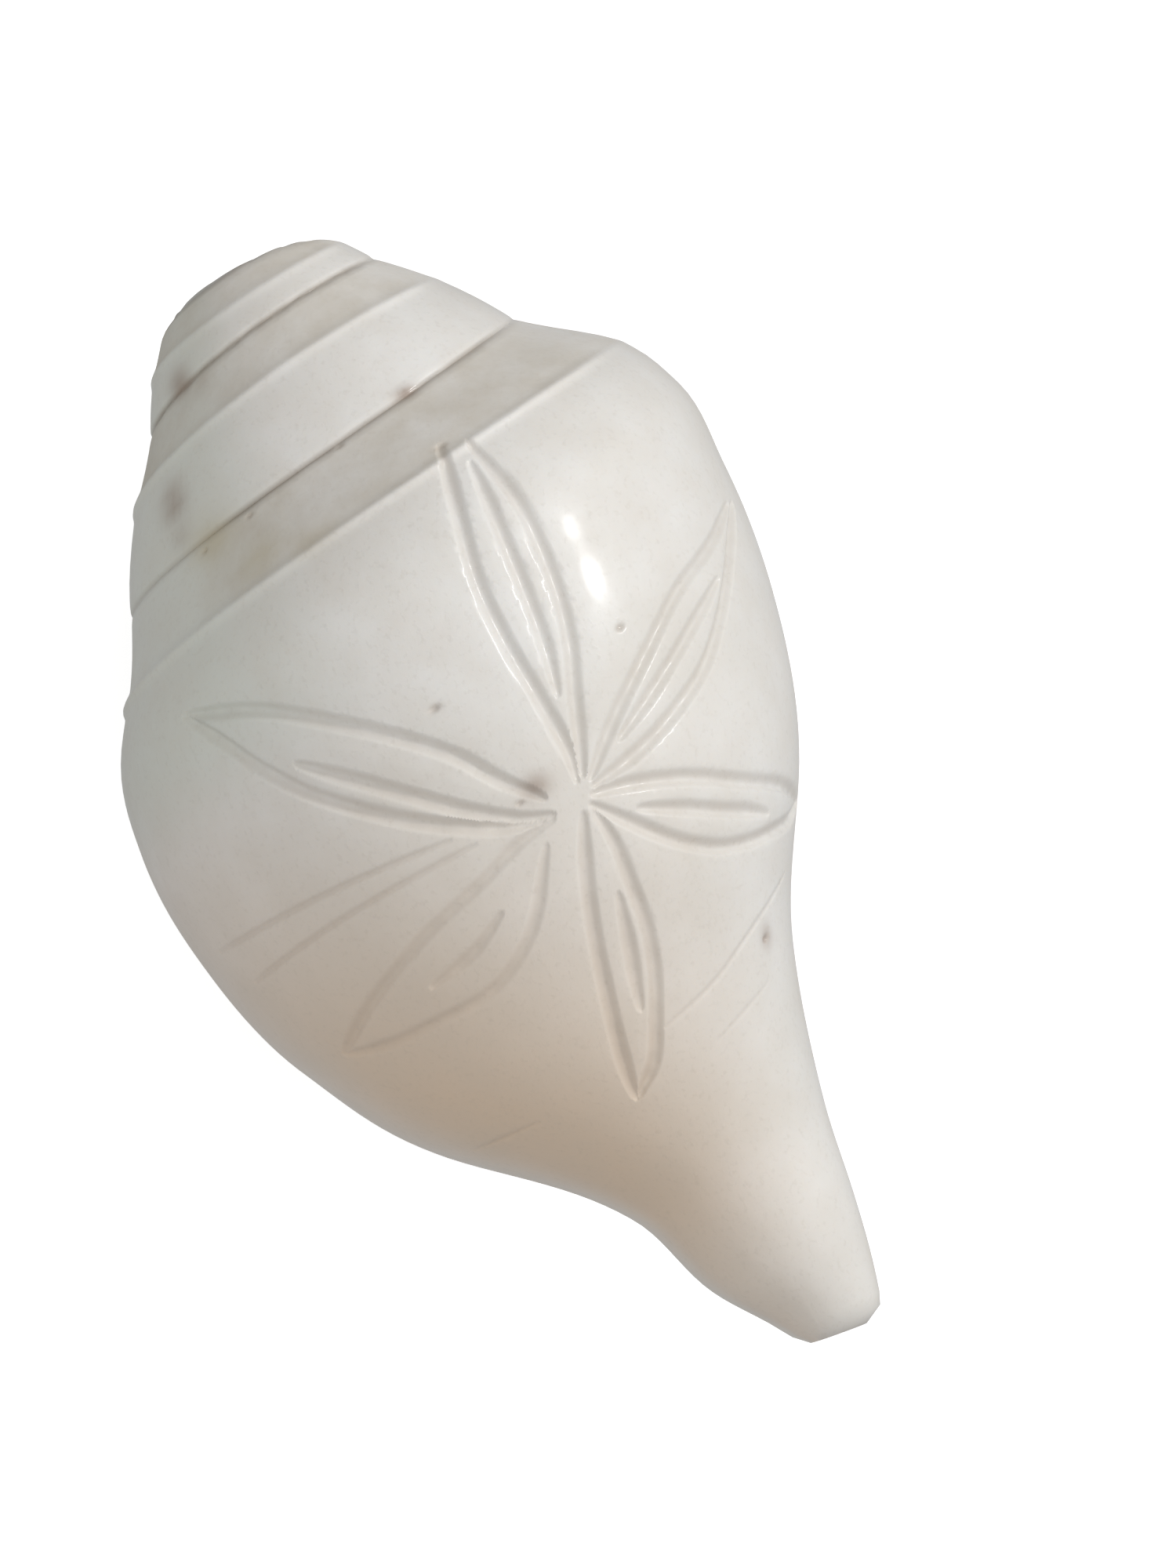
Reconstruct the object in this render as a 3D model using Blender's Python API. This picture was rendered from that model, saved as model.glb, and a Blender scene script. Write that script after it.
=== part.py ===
"""Shankha: a sacred chank conch, polished, with a sawn apex and a carved six-petal flower.

The shell coils round an axis along X, from the sawn apex at -X to the canal's tip at +X. Its back, with
the flower, faces +Z, its outer lip is on the -Y side, and it rests on z = 0 on its mouth side. The coil
is worked out in millimetres along its axis from its own virtual tip, and the meshes are in metres.
"""
import math

import bmesh
import bpy
import numpy as np

MM = 0.001

# Where the coil's axis lies: the place along it that stands over the origin, its distance to the lip's
# side of the origin, and its height over the surface that the shell rests on
AXIS_MIDDLE = 75.9
AXIS_ASIDE = -2.4
AXIS_HEIGHT = 31.7

# Places along the axis from the coil's virtual tip, and how far the sawn face leans over
CANAL_TIP = 141.0
SAWN_APEX = 12.0
SAWN_LEAN = math.radians(8.0)

# The suture, which is the seam where each turn meets the one before: angle, distance along, radius.
# Angles run round the X axis from the shell's back, towards the outer lip's side, one turn after another
SUTURE = (
    (-1260, 4.4, 3.4),
    (-1080, 6.2, 5.0),
    (-900, 8.4, 6.4),
    (-720, 11.0, 8.8),
    (-630, 12.4, 11.0),
    (-540, 14.2, 12.0),
    (-450, 16.2, 12.8),
    (-360, 18.4, 15.2),
    (-270, 22.0, 17.6),
    (-180, 25.2, 20.2),
    (-90, 29.0, 22.8),
    (0, 34.8, 25.4),
    (90, 38.0, 28.6),
    (140, 39.2, 30.4),
)
COIL_START = -1260
COIL_PEAK = 4.0
LIP_ANGLE = 140

# The last turn's outline, from its suture (0) to the canal's tip (1), as radii at five angles
PLACES = (0.0, 0.06, 0.13, 0.22, 0.35, 0.50, 0.65, 0.80, 0.95, 1.0)
OUTLINES = {
    -220: (19.0, 25.2, 30.4, 30.2, 24.0, 14.0, 9.0, 6.0, 2.8, 1.4),
    -175: (20.4, 28.0, 32.0, 32.7, 31.9, 25.0, 15.0, 9.8, 5.6, 3.6),
    -90: (22.8, 30.8, 35.0, 35.2, 33.2, 27.2, 17.2, 12.0, 8.4, 6.6),
    90: (28.6, 32.0, 37.0, 39.6, 39.5, 35.4, 26.0, 11.6, 5.2, 2.3),
    140: (30.4, 33.4, 38.6, 42.0, 42.2, 38.2, 28.8, 14.0, 7.1, 3.8),
}
SPIRE_BULGE = 0.04

# Low relief under the suture: the seam itself, a hollow band, and the ridge along the band's lower edge
SEAM_DEPTH = 0.6
SEAM_REACH = 0.7
BAND_DEPTH = 0.4
RIDGE_HEIGHT = 0.4
RIDGE_REACH = 0.9
RIDGE_ANGLES = (-1260, -720, -360, 0, 140)
RIDGE_DISTANCES = (1.5, 3.8, 5.6, 8.3, 8.8)
NO_NEXT_SEAM = 1000.0

# The carved flower: its middle, and each groove from the middle outwards through three points, as distance
# along the axis from the flower's middle, in millimetres, and angle round the axis from it, in degrees
FLOWER_ALONG = 79.5
FLOWER_ANGLE = -5.0
GROOVE_WIDTH = 1.8
GROOVE_DEPTH = 0.6
PETALS = {
    "towards_apex": (
        ((-3.5, -2.5), (-21.0, -2.9), (-39.5, -11.0)),
        ((-3.0, -3.0), (-20.0, -13.0), (-39.5, -11.0)),
        ((-10.8, -5.7), (-22.4, -8.0), (-33.4, -10.0)),
    ),
    "far_side_upper": (
        ((-2.5, -5.0), (-13.5, -28.0), (-20.0, -62.0)),
        ((-0.7, -5.9), (-6.5, -34.0), (-20.0, -62.0)),
        ((-3.7, -10.4), (-8.8, -26.0), (-14.0, -45.0)),
    ),
    "far_side_lower": (
        ((-0.6, -4.6), (4.4, -32.0), (10.5, -70.0)),
        ((2.0, -4.2), (11.2, -32.0), (10.5, -70.0)),
        ((1.2, -6.0), (6.6, -25.0), (9.5, -43.0)),
    ),
    "towards_canal": (
        ((3.0, 1.0), (16.5, 10.7), (30.0, 22.0)),
        ((3.5, -2.2), (17.5, -1.8), (30.0, 22.0)),
        ((8.5, 0.6), (14.8, 2.5), (21.5, 7.5)),
    ),
    "lip_side_upper": (
        ((-1.7, 5.4), (-14.4, 18.6), (-27.5, 53.5)),
        ((0.8, 6.0), (-9.0, 32.5), (-27.5, 53.5)),
        ((-0.8, 8.0), (-6.6, 20.0), (-17.4, 37.6)),
    ),
    "lip_side_lower": (
        ((0.8, 7.6), (3.8, 32.0), (10.5, 63.0)),
        ((3.0, 8.0), (12.3, 34.0), (10.9, 62.0)),
        ((6.0, 12.7), (7.8, 26.0), (9.1, 40.7)),
    ),
}
GROOVE_STEPS = 9
GROOVE_ENDS = 0.45
GROOVE_TAPER = 0.2
WELD = 0.00001

# The mouth's hollow: its walls and its thickness in the corner at its top, in millimetres, and how far
# along the axis it reaches at depths inside the lip, in degrees
MOUTH_TOP_WALL = 3.5
MOUTH_TOP_STEP = 0.25
MOUTH_CORNER = 0.9
MOUTH_ROUNDNESS = 5
LIP_WALL = 3.2
CANAL_WALL = 1.6
MOUTH_GLAZE = 0.4
MOUTH_SHRINK = 0.0013
MOUTH_DEPTHS = (-20, 0, 15, 30, 50, 80, 130)
MOUTH_ENDS = (144, 144, 139, 130, 116, 102, 88)
MOUTH_SECTIONS = range(-18, 127, 9)
MOUTH_ROWS = (0.0, 0.03, 0.08, 0.15, 0.24, 0.34, 0.44, 0.54, 0.64, 0.74, 0.84, 0.92, 0.97, 1.0)

# The sawn apex's blow hole: widths at its mouth and inside, length, and how far it starts before the face
BLOW_MOUTH = 9.0
BLOW_END = 6.0
BLOW_LENGTH = 18.0
BLOW_START = 2.0
BLOW_SIDES = 24

# The outside's grid: its step round the coil, in degrees, the distances from a seam and from the ridge to
# the rows beside them, in millimetres, and its rows down the last turn
STEP = 5
ROW_BY_SEAM = 0.63
ROW_BY_RIDGE = 0.72
BODY_ROWS = (0.20, 0.27, 0.34, 0.41, 0.47, 0.53, 0.59, 0.65, 0.71, 0.77, 0.83, 0.88, 0.92, 0.95, 0.98, 1.0)

# The boxes that saw off the apex and flatten the places that the shell rests on, in metres
SAW_BOX = (0.06, 0.06, 0.03)
REST_BOX = (0.2, 0.12, 0.02)


def smooth_through(places, values, wanted):
    """Cubic curve through values at places, one curve for each column of values."""
    places = np.asarray(places, float)
    values = np.asarray(values, float)
    wanted = np.asarray(wanted, float)
    slope = np.gradient(values, places, axis=0)
    i = np.clip(np.searchsorted(places, wanted) - 1, 0, len(places) - 2)
    gap = places[i + 1] - places[i]
    t = (wanted - places[i]) / gap
    extra = (1,) * (values.ndim - 1)
    t = t.reshape(t.shape + extra)
    gap = gap.reshape(gap.shape + extra)
    a = 2 * t ** 3 - 3 * t ** 2 + 1
    b = t ** 3 - 2 * t ** 2 + t
    c = 3 * t ** 2 - 2 * t ** 3
    d = t ** 3 - t ** 2
    return a * values[i] + b * gap * slope[i] + c * values[i + 1] + d * gap * slope[i + 1]


def suture(angle):
    """Distance along the axis and radius of the suture, in millimetres."""
    table = np.array(SUTURE, float)
    logs = smooth_through(table[:, 0], np.log(table[:, 1:]), np.asarray(angle, float))
    pair = np.exp(logs)
    return pair[..., 0], pair[..., 1]


def body(angle, place):
    """Distance along and radius of the last turn, at an angle and a place from its suture to the tip."""
    angle = np.asarray(angle, float)
    place = np.asarray(place, float)
    angle, place = np.broadcast_arrays(angle, place)
    keys = np.array(sorted(OUTLINES), float)
    logs = np.log(np.array([OUTLINES[key] for key in sorted(OUTLINES)]))
    across = smooth_through(keys, logs, angle.ravel())
    radius = np.empty(angle.size)
    for k, (row, p) in enumerate(zip(across, place.ravel())):
        radius[k] = math.exp(smooth_through(PLACES, row, p))
    start = suture(angle)[0]
    return start + (CANAL_TIP - start) * place, radius.reshape(angle.shape)


def spire(angle, share):
    """Distance along and radius of an early turn, at a share of the way to the next suture."""
    along0, radius0 = suture(angle)
    along1, radius1 = suture(np.asarray(angle, float) + 360.0)
    rise = along1 - along0
    widen = radius1 - radius0
    bulge = SPIRE_BULGE * 4.0 * share * (1.0 - share)
    return along0 + rise * share - widen * bulge, radius0 + widen * share + rise * bulge


def relief(angle, below, height):
    """Relief outwards, at a distance below the suture in a turn that shows over a height."""
    ridge = np.interp(angle, RIDGE_ANGLES, RIDGE_DISTANCES)
    scale = np.minimum(1.0, ridge / RIDGE_DISTANCES[-1])
    seam = np.exp(-(below / SEAM_REACH) ** 2) + np.exp(-((height - below) / SEAM_REACH) ** 2)
    hollow = np.where(below < ridge, np.sin(math.pi * np.clip(below / ridge, 0.0, 1.0)) ** 2, 0.0)
    raised = np.exp(-((below - ridge) / RIDGE_REACH) ** 2)
    return scale * (RIDGE_HEIGHT * raised - BAND_DEPTH * hollow) - SEAM_DEPTH * seam


def place_point(angle, along, radius):
    """A point of the shell in metres, from its angle, its place along the axis and its radius."""
    turn = np.radians(np.asarray(angle, float))
    x = along - AXIS_MIDDLE
    y = -radius * np.sin(turn) - AXIS_ASIDE
    z = radius * np.cos(turn) + AXIS_HEIGHT
    return np.stack([x, y, z], axis=-1) * MM


def shares_below_suture(angle, height):
    """Grid rows from one suture to the next, close together at the seam and at the ridge."""
    ridge = np.interp(angle, RIDGE_ANGLES, RIDGE_DISTANCES) / height
    near = ROW_BY_RIDGE / height
    seam = ROW_BY_SEAM / height
    return [seam, ridge / 2, ridge - near, ridge, ridge + near, 1.0 - seam]


def outside_mesh():
    """The closed outside of the shell: early turns, last turn, step at the lip, and both ends."""
    mesh = bmesh.new()
    angles = list(range(COIL_START, LIP_ANGLE + 1, STEP))
    turn = 360 // STEP
    lip = len(angles) - 1
    root = lip - turn
    seam = []
    for angle in angles:
        along, radius = suture(angle)
        seam.append(mesh.verts.new(place_point(angle, along, radius - SEAM_DEPTH)))

    columns = []
    for k, angle in enumerate(angles[:root]):
        height = suture(angle + 360)[0] - suture(angle)[0]
        shares = np.array(shares_below_suture(angle, height))
        along, radius = spire(angle, shares)
        radius += relief(angle, along - suture(angle)[0], height)
        inner = [mesh.verts.new(p) for p in place_point(angle, along, radius)]
        columns.append([seam[k]] + inner + [seam[k + turn]])
    start = suture(angles[root])[0]
    meeting = (suture(LIP_ANGLE)[0] - start) / (CANAL_TIP - start)
    last = []
    for k in range(root, lip + 1):
        start = suture(angles[k])[0]
        height = meeting * (CANAL_TIP - start)
        shares = shares_below_suture(angles[k], height) + [1.0]
        places = [share * meeting for share in shares] + list(BODY_ROWS)
        along, radius = body(angles[k], np.array(places))
        radius += relief(angles[k], along - start, NO_NEXT_SEAM)
        inner = [mesh.verts.new(p) for p in place_point(angles[k], along, radius)]
        last.append([seam[k]] + inner)
    joint = len(columns[0]) - 1
    mesh.verts.remove(last[0][joint])
    last[0][joint] = seam[lip]
    columns.append(last[0][:joint + 1])

    for left, right in list(zip(columns, columns[1:])) + list(zip(last, last[1:])):
        for a, b, c, d in zip(left, left[1:], right[1:], right):
            mesh.faces.new((a, b, c, d))
    mesh.faces.new(last[-1] + last[0][:joint:-1])
    mesh.faces.new([column[-1] for column in last])

    start = seam[:turn + 1] + columns[0][-2:0:-1]
    peak = mesh.verts.new(place_point(0.0, COIL_PEAK, 0.0))
    for a, b in zip(start, start[1:] + start[:1]):
        mesh.faces.new((a, b, peak))
    bmesh.ops.recalc_face_normals(mesh, faces=mesh.faces)
    return mesh


def section_mesh(sections):
    """A closed solid through rings of points, each ring with as many points, capped at both ends."""
    mesh = bmesh.new()
    rings = [[mesh.verts.new(p) for p in ring] for ring in sections]
    for one, two in zip(rings, rings[1:]):
        for k in range(len(one)):
            nxt = (k + 1) % len(one)
            mesh.faces.new((one[k], one[nxt], two[nxt], two[k]))
    mesh.faces.new(rings[0])
    mesh.faces.new(rings[-1])
    bmesh.ops.recalc_face_normals(mesh, faces=mesh.faces)
    return mesh


def mouth_sides(angle, depth, along):
    """Radii of the mouth's hollow, on the lip's side and on the side of the turn that it wraps round."""
    start = suture(angle)[0]
    place = np.clip((along - start) / (CANAL_TIP - start), 0.0, 1.0)
    outer = body(min(angle, LIP_ANGLE), place)[1] - LIP_WALL - (CANAL_WALL - LIP_WALL) * place
    wrapped = max(angle, LIP_ANGLE) - 360
    start = suture(wrapped)[0]
    place = np.clip((along - start) / (CANAL_TIP - start), 0.0, 1.0)
    inner = body(wrapped, place)[1] * (1.0 - MOUTH_SHRINK * max(depth, 0.0)) + MOUTH_GLAZE
    return outer, inner


def mouth_section(depth):
    """The mouth's hollow cut across at an angle of depth degrees inside the lip."""
    angle = LIP_ANGLE - depth
    end = smooth_through(MOUTH_DEPTHS, MOUTH_ENDS, depth)
    tops = np.arange(suture(angle)[0] + MOUTH_TOP_WALL, end, MOUTH_TOP_STEP)
    outer, inner = mouth_sides(angle, depth, tops)
    top = tops[np.argmax(outer - inner > MOUTH_CORNER)]
    share = np.array(MOUTH_ROWS)
    along = top + (end - top) * share
    outer, inner = mouth_sides(angle, depth, along)
    middle = 0.5 * (outer + inner)
    thick = np.maximum(0.5 * (outer - inner), MOUTH_CORNER / 2)
    half = thick * np.sqrt(1.0 - np.abs(2.0 * share - 1.0) ** MOUTH_ROUNDNESS)
    ring = list(zip(along, middle + half)) + list(zip(along, middle - half))[-2:0:-1]
    return [place_point(angle, x, r) for x, r in ring]


def add_object(name, mesh, group):
    """A named object with a mesh, in a collection."""
    data = bpy.data.meshes.new(name)
    mesh.to_mesh(data)
    mesh.free()
    made = bpy.data.objects.new(name, data)
    group.objects.link(made)
    return made


def cut_away(shell, cutter):
    """Takes a cutter's space out of the shell."""
    cutter.hide_render = True
    cutter.display_type = "WIRE"
    modifier = shell.modifiers.new(cutter.name, "BOOLEAN")
    modifier.operation = "DIFFERENCE"
    modifier.solver = "EXACT"
    modifier.object = cutter


def box_cutter(name, size, place, lean, group):
    """A box, turned about Y by lean, whose +Z face's middle is at a place."""
    mesh = bmesh.new()
    bmesh.ops.create_cube(mesh, size=1.0)
    bmesh.ops.scale(mesh, vec=size, verts=mesh.verts)
    bmesh.ops.translate(mesh, vec=(0.0, 0.0, -size[2] / 2.0), verts=mesh.verts)
    made = add_object(name, mesh, group)
    made.location = place
    made.rotation_euler = (0.0, lean, 0.0)
    return made


def blow_hole_cutter(group):
    """A tapered hole, wide at the sawn face and narrow inside."""
    bpy.ops.mesh.primitive_cone_add(
        vertices=BLOW_SIDES,
        radius1=BLOW_MOUTH / 2 * MM,
        radius2=BLOW_END / 2 * MM,
        depth=BLOW_LENGTH * MM,
        rotation=(0.0, math.radians(90.0), 0.0),
    )
    made = bpy.context.object
    made.name = "blow_hole_cutter"
    made.location = place_point(0.0, SAWN_APEX - BLOW_START + BLOW_LENGTH / 2, 0.0)
    for other in made.users_collection:
        other.objects.unlink(made)
    group.objects.link(made)
    return made


def skin_point(along, angle, lift):
    """A point over the last turn's skin, in metres, lifted off it by a distance."""
    def at(x, turn):
        start = suture(turn)[0]
        place = (x - start) / (CANAL_TIP - start)
        radius = body(turn, place)[1] + relief(turn, x - start, NO_NEXT_SEAM)
        return place_point(turn, x, radius)
    here = at(along, angle)
    out = np.cross(at(along, angle + 1.0) - here, at(along + 0.5, angle) - here)
    out /= np.linalg.norm(out)
    return here + out * lift * MM


def groove_cutter(name, points, group):
    """A round bar along a groove's curve, sunk in the skin to the groove's width and depth."""
    bar = (GROOVE_WIDTH ** 2 / 4 + GROOVE_DEPTH ** 2) / (2 * GROOVE_DEPTH)
    first, middle, last = (np.array(p) for p in points)
    curve = bpy.data.curves.new(name, "CURVE")
    curve.dimensions = "3D"
    curve.bevel_depth = bar * MM
    curve.bevel_resolution = 1
    curve.use_fill_caps = True
    spline = curve.splines.new("POLY")
    spline.points.add(GROOVE_STEPS)
    for k, point in enumerate(spline.points):
        t = k / GROOVE_STEPS
        along, angle = (1 - t) * (1 - 2 * t) * first + 4 * t * (1 - t) * middle + t * (2 * t - 1) * last
        narrow = GROOVE_ENDS + (1 - GROOVE_ENDS) * min(1.0, t / GROOVE_TAPER, (1 - t) / GROOVE_TAPER)
        lift = bar * narrow - GROOVE_DEPTH * narrow
        point.co = (*skin_point(FLOWER_ALONG + along, FLOWER_ANGLE + angle, lift), 1.0)
        point.radius = narrow
    wire = bpy.data.objects.new(name, curve)
    group.objects.link(wire)
    bpy.context.view_layer.update()
    data = bpy.data.meshes.new_from_object(wire.evaluated_get(bpy.context.evaluated_depsgraph_get()))
    bpy.data.objects.remove(wire)
    mesh = bmesh.new()
    mesh.from_mesh(data)
    bmesh.ops.remove_doubles(mesh, verts=mesh.verts, dist=WELD)
    bmesh.ops.recalc_face_normals(mesh, faces=mesh.faces)
    return add_object(name, mesh, group)


def shell_material():
    """Polished shell, ivory white with a soft gloss."""
    made = bpy.data.materials.new("polished_shell")
    made.use_nodes = True
    surface = made.node_tree.nodes["Principled BSDF"]
    surface.inputs["Base Color"].default_value = (0.72, 0.68, 0.62, 1.0)
    surface.inputs["Roughness"].default_value = 0.3
    surface.inputs["Metallic"].default_value = 0.0
    return made


def main():
    for old in list(bpy.data.objects):
        bpy.data.objects.remove(old, do_unlink=True)
    parts = bpy.data.collections.new("shankha_conch")
    cutters = bpy.data.collections.new("cutters")
    bpy.context.scene.collection.children.link(parts)
    bpy.context.scene.collection.children.link(cutters)

    shell = add_object("conch_shell", outside_mesh(), parts)
    shell.data.materials.append(shell_material())
    for petal, grooves in PETALS.items():
        for part, points in zip(("side_a", "side_b", "vein"), grooves):
            cut_away(shell, groove_cutter(f"petal_{petal}_{part}", points, cutters))
    upright = math.radians(90.0) - SAWN_LEAN
    cut_away(shell, box_cutter("saw_cutter", SAW_BOX, place_point(0.0, SAWN_APEX, 0.0), upright, cutters))
    cut_away(shell, blow_hole_cutter(cutters))
    sections = [mouth_section(depth) for depth in MOUTH_SECTIONS]
    cut_away(shell, add_object("mouth_cutter", section_mesh(sections), cutters))
    cut_away(shell, box_cutter("rest_cutter", REST_BOX, (0.0, 0.0, 0.0), 0.0, cutters))


main()
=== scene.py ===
"""Looks of the shankha: a polished chank conch with a carved flower, on a pale floor in soft light."""
import math

import bmesh
import bpy
import numpy as np
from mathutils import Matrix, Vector


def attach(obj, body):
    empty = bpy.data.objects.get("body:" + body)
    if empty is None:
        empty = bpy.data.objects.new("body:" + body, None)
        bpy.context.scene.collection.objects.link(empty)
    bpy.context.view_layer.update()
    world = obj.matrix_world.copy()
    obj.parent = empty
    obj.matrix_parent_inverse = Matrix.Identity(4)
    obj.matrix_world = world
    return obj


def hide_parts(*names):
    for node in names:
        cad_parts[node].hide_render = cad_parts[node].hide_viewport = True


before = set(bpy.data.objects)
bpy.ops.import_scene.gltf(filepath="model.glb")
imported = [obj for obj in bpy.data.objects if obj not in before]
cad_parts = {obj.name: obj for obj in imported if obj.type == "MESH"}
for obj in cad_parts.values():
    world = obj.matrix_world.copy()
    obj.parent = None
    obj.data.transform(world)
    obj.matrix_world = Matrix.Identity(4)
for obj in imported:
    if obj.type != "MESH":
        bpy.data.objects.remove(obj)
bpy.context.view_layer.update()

MM = 0.001

# The coil's axis in the row's frame, and places along it, in millimetres from the coil's virtual tip
AXIS_MIDDLE = 75.9
AXIS_ASIDE = -2.4
AXIS_HEIGHT = 31.7
CANAL_TIP = 141.0
SAWN_APEX = 12.0
SAWN_LEAN = math.radians(8.0)
SAWN_NORMAL = (-math.cos(SAWN_LEAN), 0.0, -math.sin(SAWN_LEAN))

# The suture: angle round the axis from the shell's back, distance along, radius
SUTURE = (
    (-1260, 4.4, 3.4),
    (-1080, 6.2, 5.0),
    (-900, 8.4, 6.4),
    (-720, 11.0, 8.8),
    (-630, 12.4, 11.0),
    (-540, 14.2, 12.0),
    (-450, 16.2, 12.8),
    (-360, 18.4, 15.2),
    (-270, 22.0, 17.6),
    (-180, 25.2, 20.2),
    (-90, 29.0, 22.8),
    (0, 34.8, 25.4),
    (90, 38.0, 28.6),
    (140, 39.2, 30.4),
)
# Angles, in degrees: where the coil starts, the first seam and ridge that get a finer grid, the lip's edge,
# the start of the last turn, and the end of the hollow band on the left
COIL_START = -1260
EARLIEST_SEAM = -1010
EARLIEST_RIDGE = -900
LIP_ANGLE = 140
LAST_START = LIP_ANGLE - 360
BAND_END = 42
BAND_FADE = (BAND_END - 12.0, BAND_END + 8.0)

# The last turn's outline, from its suture (0) to the canal's tip (1), as radii at five angles
PLACES = (0.0, 0.06, 0.13, 0.22, 0.35, 0.50, 0.65, 0.80, 0.95, 1.0)
OUTLINES = {
    -220: (19.0, 25.2, 30.4, 30.2, 24.0, 14.0, 9.0, 6.0, 2.8, 1.4),
    -175: (20.4, 28.0, 32.0, 32.7, 31.9, 25.0, 15.0, 9.8, 5.6, 3.6),
    -90: (22.8, 30.8, 35.0, 35.2, 33.2, 27.2, 17.2, 12.0, 8.4, 6.6),
    90: (28.6, 32.0, 37.0, 39.6, 39.5, 35.4, 26.0, 11.6, 5.2, 2.3),
    140: (30.4, 33.4, 38.6, 42.0, 42.2, 38.2, 28.8, 14.0, 7.1, 3.8),
}
# How far the spire's turns bulge, as a share of the distance between their sutures
SPIRE_BULGE = 0.04

# Relief under the suture: the seam, the hollow band, and the thin raised cord along the band's lower edge
SEAM_DEPTH = 0.36
SEAM_REACH = 0.42
BAND_DEPTH = 0.38
RIDGE_HEIGHT = 0.52
RIDGE_REACH = 0.60
RIDGE_ANGLES = (-1260, -720, -360, 0, 140)
RIDGE_DISTANCES = (1.5, 3.8, 5.6, 8.3, 8.8)
SEAM_UNEVEN = 0.35
NO_NEXT_SEAM = 1000.0

# What is worn away. The worn side starts and is full where minus the angle's sine has these values. There the
# seam and the band's colour lose one share and the other relief another. Past the band's end, the seam and
# the band's hollow lose a share as well.
WORN_SIDE = (0.72, 0.97)
SEAM_WORN = 0.7
RELIEF_WORN = 0.8
SEAM_FILLED = 0.5
BAND_FADED = 0.8

# Heights of the waves that polishing by hand leaves, in millimetres. The mouth's cut depends on them: with
# others it can fail.
WAVE_HEIGHTS = (0.03, 0.02, 0.015, 0.006)

# Nicks in the last seam, as distance along the axis and angle, and their size
NOTCHES = ((35.2, 1.5), (36.9, 27.0), (37.6, 41.0))
NOTCH_SIZE = 0.8

# The flower: its middle, and its grooves as distance along the axis in millimetres and angle in degrees.
# Each line has its strength first, then its points.
FLOWER_ALONG = 79.5
FLOWER_ANGLE = -5.0
GROOVES = (
    # Upper petal
    (1.00, (
        (-38.9, -10.3), (-32.0, -6.0), (-24.2, -2.8), (-17.4, -2.2), (-10.4, -2.8),
        (-3.8, -3.0), (-1.6, -2.2),
    )),
    (0.95, (
        (-37.8, -14.6), (-30.9, -15.2), (-22.3, -14.5), (-14.9, -12.0), (-9.0, -8.2),
        (-3.7, -4.8), (-1.8, -3.4),
    )),
    (0.90, (
        (-35.6, -12.5), (-28.9, -10.4), (-21.3, -9.0), (-14.6, -7.5), (-10.2, -5.8),
    )),
    # Upper right petal
    (0.80, (
        (-20.8, -62.0), (-17.6, -50.0), (-14.3, -35.5), (-9.8, -23.5), (-4.4, -10.8),
        (-1.2, -4.6),
    )),
    (0.80, (
        (-13.8, -47.0), (-10.1, -34.8), (-6.6, -23.5), (-3.4, -12.5),
    )),
    (0.95, (
        (-20.8, -65.0), (-16.5, -56.0), (-10.3, -44.5), (-6.6, -36.5), (-3.5, -25.5),
        (-1.2, -13.0), (-0.4, -4.5),
    )),
    # Right petal
    (1.00, (
        (0.3, -3.6), (0.9, -9.2), (2.8, -21.0), (5.7, -36.0), (8.4, -60.5),
        (9.8, -76.0),
    )),
    (0.95, (
        (3.7, -10.5), (5.9, -20.5), (7.6, -29.0), (9.1, -39.5), (10.0, -46.0),
    )),
    (1.00, (
        (1.2, -2.6), (3.9, -7.0), (7.6, -14.2), (10.5, -24.5), (11.6, -36.0),
        (11.7, -50.0), (11.2, -64.0), (9.8, -76.0),
    )),
    # Left petal
    (1.10, (
        (-27.4, 54.0), (-23.8, 39.5), (-18.5, 28.0), (-13.9, 20.0), (-9.5, 13.6),
        (-5.2, 9.2), (-1.6, 4.2),
    )),
    (1.10, (
        (-16.9, 37.2), (-12.1, 29.2), (-7.8, 22.4), (-3.6, 15.4), (-0.6, 8.6),
        (0.3, 4.2),
    )),
    (1.10, (
        (-27.4, 54.5), (-23.8, 49.5), (-18.4, 43.5), (-13.6, 37.7), (-9.7, 31.8),
        (-4.6, 22.5), (-0.9, 12.5), (0.4, 6.2),
    )),
    # Lower petal
    (0.90, (
        (1.6, -0.6), (6.0, 3.0), (12.3, 7.8), (18.7, 12.6), (24.6, 18.0),
        (29.6, 23.2),
    )),
    (0.90, (
        (1.9, -2.6), (5.1, -3.5), (10.3, -3.3), (14.9, -2.7), (19.2, 0.0),
        (23.0, 4.6), (26.4, 10.2), (29.6, 22.5),
    )),
    (0.85, (
        (10.4, 0.0), (14.7, 2.2), (18.5, 4.8), (21.8, 7.4),
    )),
    # Lower left petal, worn
    (0.58, (
        (0.7, 4.5), (1.1, 11.0), (2.8, 21.0), (4.5, 33.8), (7.2, 49.5),
        (10.9, 70.0),
    )),
    (0.50, (
        (2.7, 7.8), (9.1, 17.5), (12.4, 29.0), (12.8, 47.5), (12.0, 62.0),
        (10.9, 70.0),
    )),
    (0.60, (
        (6.5, 21.0), (8.4, 29.0), (9.6, 40.8),
    )),
)
# Worn tool marks and scratches beside the flower, in the same measure
SCRATCHES = (
    (0.66, ((-2.4, 21.5), (-3.8, 42.0), (-4.9, 78.0))),
    (0.60, ((-0.8, 18.2), (-1.0, 41.0), (-0.2, 74.0))),
    (0.32, ((24.7, 5.0), (22.6, -17.0), (20.3, -31.0), (16.1, -58.0))),
    (0.20, ((28.4, -10.0), (25.4, -39.0))),
    (0.45, ((26.1, 78.5), (26.9, 51.0))),
)
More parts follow.
